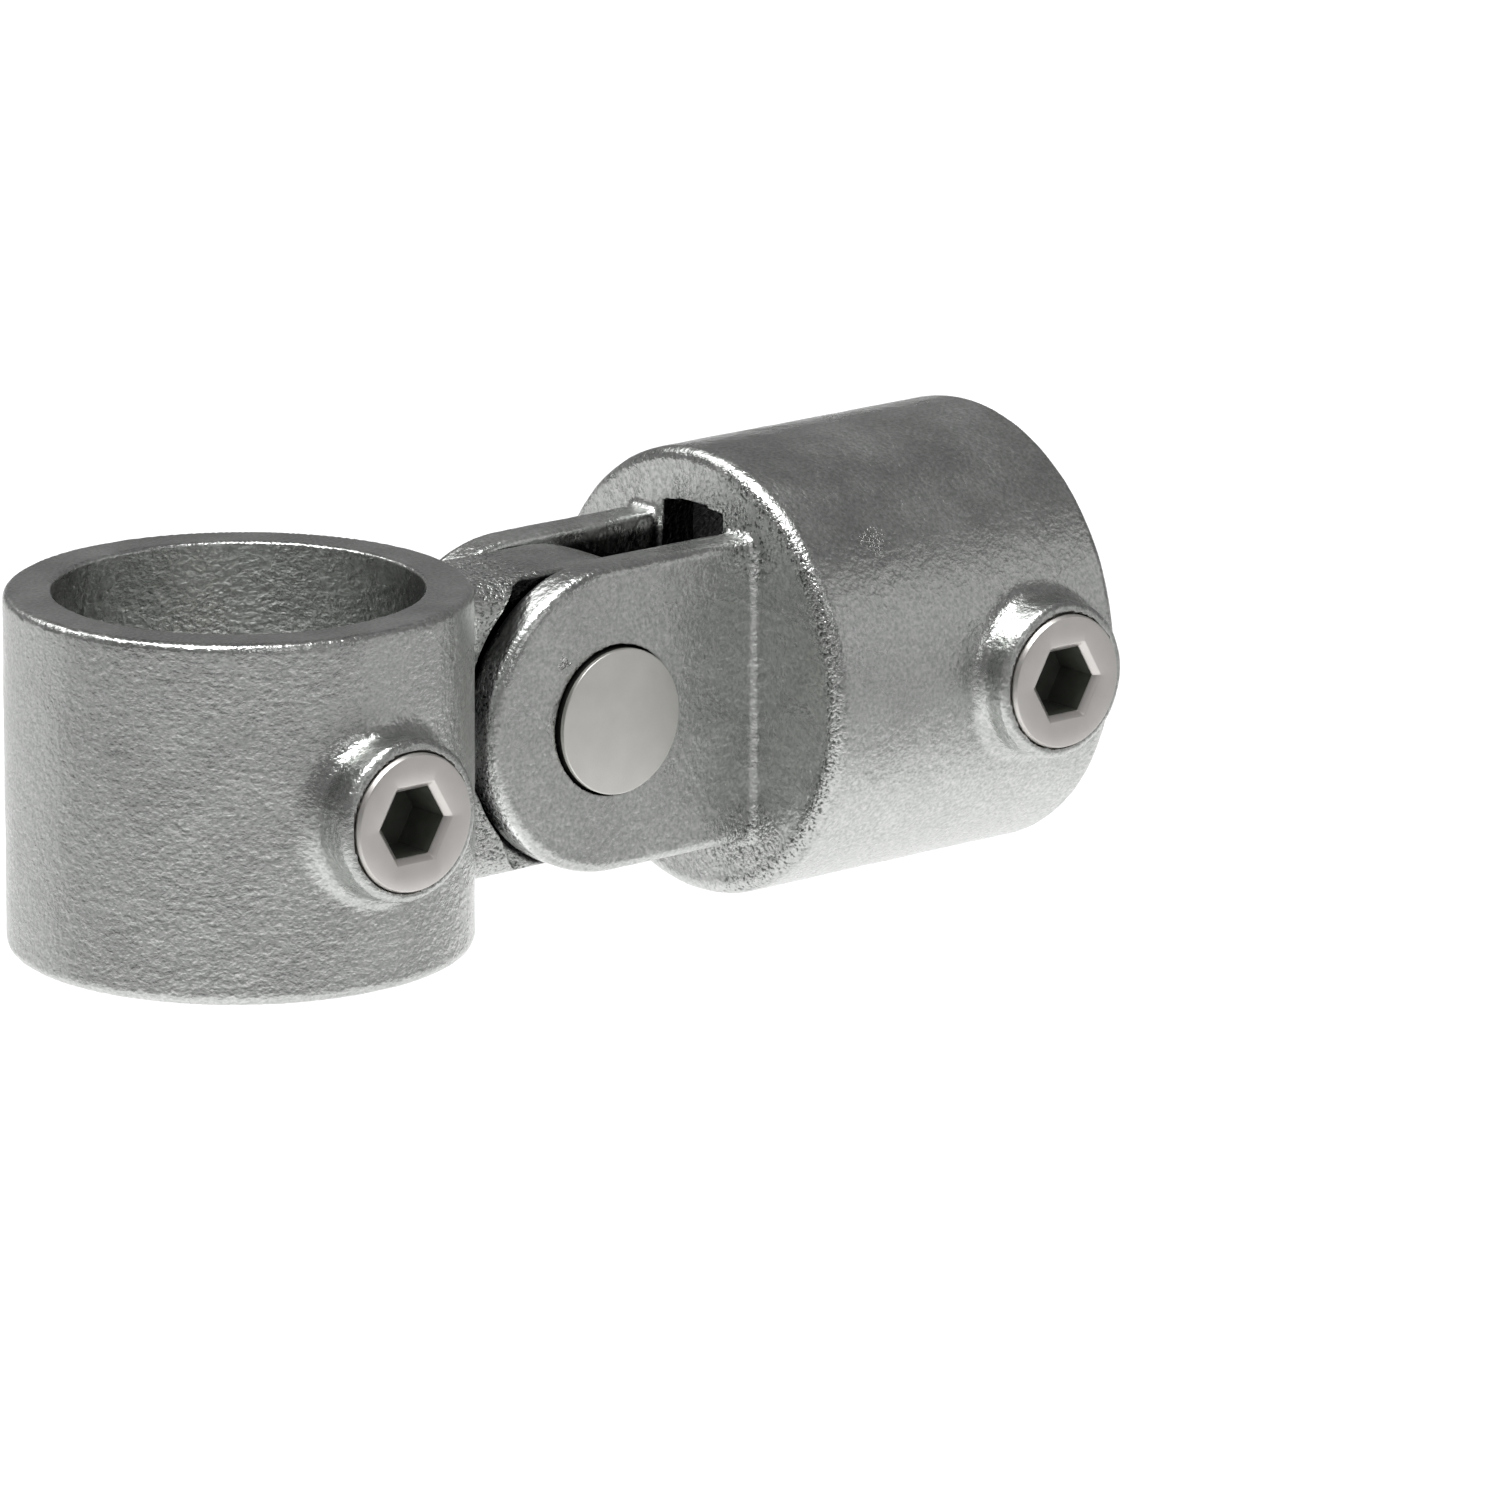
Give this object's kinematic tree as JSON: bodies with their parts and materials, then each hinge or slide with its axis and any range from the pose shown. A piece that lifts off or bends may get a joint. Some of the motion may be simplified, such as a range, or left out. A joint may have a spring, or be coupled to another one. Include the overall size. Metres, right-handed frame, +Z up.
{
  "type": "hinged tube clamp",
  "caption": "Cast clamp with a collar for a through tube and a socket for a tube's end, joined by a fork, tongue and pivot pin, with hexagon-socket set screws that lock the tubes.",
  "frame": {"origin": "on the collar bore's axis, at the middle of the collar's length and level with the pivot pin", "axes": "+Z up along the collar's bore, +X from the collar to the socket, -Y towards the side with the set screws; the pivot pin lies along Y"},
  "size_m": [0.1421, 0.0614, 0.0556],
  "materials": {
    "galvanised_iron": "hot-dip galvanised casting, satin, fine orange-peel surface",
    "pin_steel": "plain turned steel, satin",
    "screw_steel": "stainless steel, satin"
  },
  "bodies": {
    "collar": {"collar_casting": "galvanised_iron"},
    "socket": {"socket_casting": "galvanised_iron", "pivot_pin": "pin_steel"},
    "collar_screw": {"collar_set_screw": "screw_steel"},
    "socket_screw": {"socket_set_screw": "screw_steel"}
  },
  "joints": [
    {"name": "swivel", "type": "hinge", "parent": "collar", "child": "socket", "pos_m": [0.0476, 0, 0], "axis": [0, -1, 0], "range_deg": [-50, 50]},
    {"name": "collar_screw_travel", "type": "slide", "parent": "collar", "child": "collar_screw", "axis": [0, 1, 0], "range_m": [-0.006, 0.001]},
    {"name": "socket_screw_travel", "type": "slide", "parent": "socket", "child": "socket_screw", "axis": [0, 1, 0], "range_m": [-0.006, 0.001]}
  ]
}
